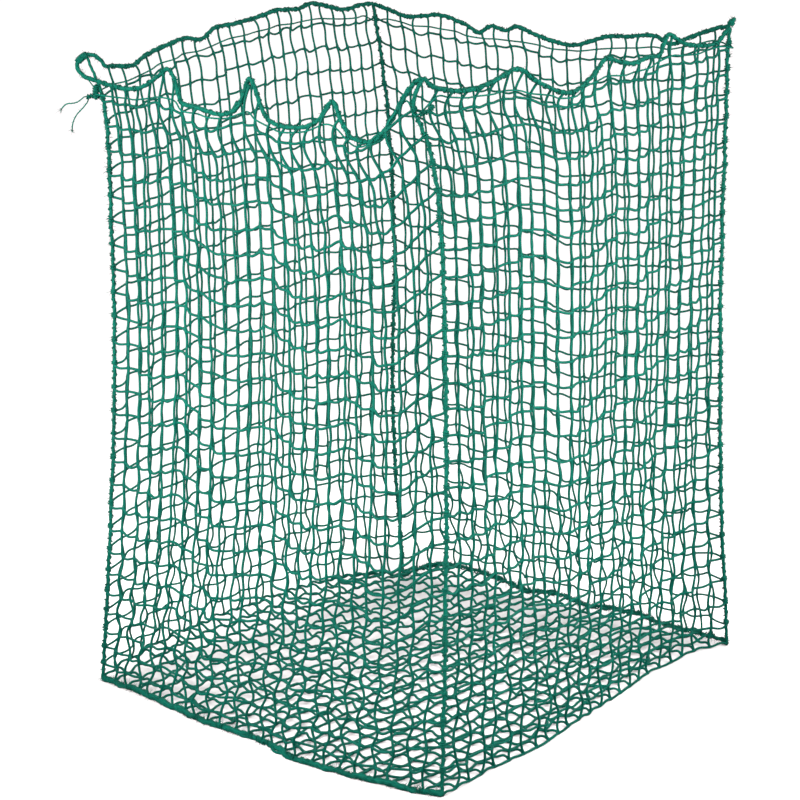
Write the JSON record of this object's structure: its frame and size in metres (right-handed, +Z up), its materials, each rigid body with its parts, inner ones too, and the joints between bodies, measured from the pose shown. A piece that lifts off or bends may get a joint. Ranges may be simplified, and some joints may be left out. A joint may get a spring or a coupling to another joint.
{
  "type": "box net",
  "caption": "Open-topped box-shaped net of square-mesh twine with laced rope seams, a scalloped rope rim, a draw cord round the mouth and rope loops to hang it by.",
  "frame": {"origin": "on the floor, under the middle of the box that holds the whole net", "axes": "+Z up towards the open mouth, +X and +Y along the base's sides; the two hanging loops are at the -X -Y corner and the +X +Y corner"},
  "size_m": [1.1318, 1.2991, 1.6145],
  "materials": {
    "netting": "braided synthetic twine with a slight sheen",
    "seam_rope": "laced rope with short stray fibres",
    "rim_rope": "braided rope with lacing twine and short stray fibres",
    "draw_cord": "thin braided cord with frayed ends",
    "whipping": "tight turns of thin twine"
  },
  "bodies": {
    "netting": {"base_net": "netting", "wall_net_front": "netting", "wall_net_right": "netting", "wall_net_back": "netting", "wall_net_left": "netting", "seam_rope_front_left": "seam_rope", "seam_rope_front_right": "seam_rope", "seam_rope_back_right": "seam_rope", "seam_rope_back_left": "seam_rope", "base_seam_rope_front": "seam_rope", "base_seam_rope_back": "seam_rope"},
    "rim": {"rim_rope_front": "rim_rope", "rim_rope_back": "rim_rope", "draw_cord": "draw_cord", "draw_cord_knot": "draw_cord", "draw_cord_tail_long": "draw_cord", "draw_cord_tail_short": "draw_cord", "corner_hitch": "draw_cord"},
    "front_left_loop": {"hanging_loop_front_left": "rim_rope", "loop_whipping_front_left": "whipping"},
    "back_right_loop": {"hanging_loop_back_right": "rim_rope", "loop_whipping_back_right": "whipping"}
  },
  "joints": [
    {"name": "rim_drop", "type": "slide", "parent": "netting", "child": "rim", "axis": [0, 0, -1], "range_m": [0, 1.25], "deforming": ["wall_net_front", "wall_net_right", "wall_net_back", "wall_net_left", "seam_rope_front_left", "seam_rope_front_right", "seam_rope_back_right", "seam_rope_back_left"]},
    {"name": "front_left_loop_swing", "type": "hinge", "parent": "rim", "child": "front_left_loop", "pos_m": [-0.507, -0.5395, 1.5135], "axis": [-0.049, -0.5882, -0.8072], "range_deg": [-30, 65]},
    {"name": "back_right_loop_swing", "type": "hinge", "parent": "rim", "child": "back_right_loop", "pos_m": [0.499, 0.5915, 1.589], "axis": [-0.242, 0.9669, 0.081], "range_deg": [-60, 65]}
  ]
}
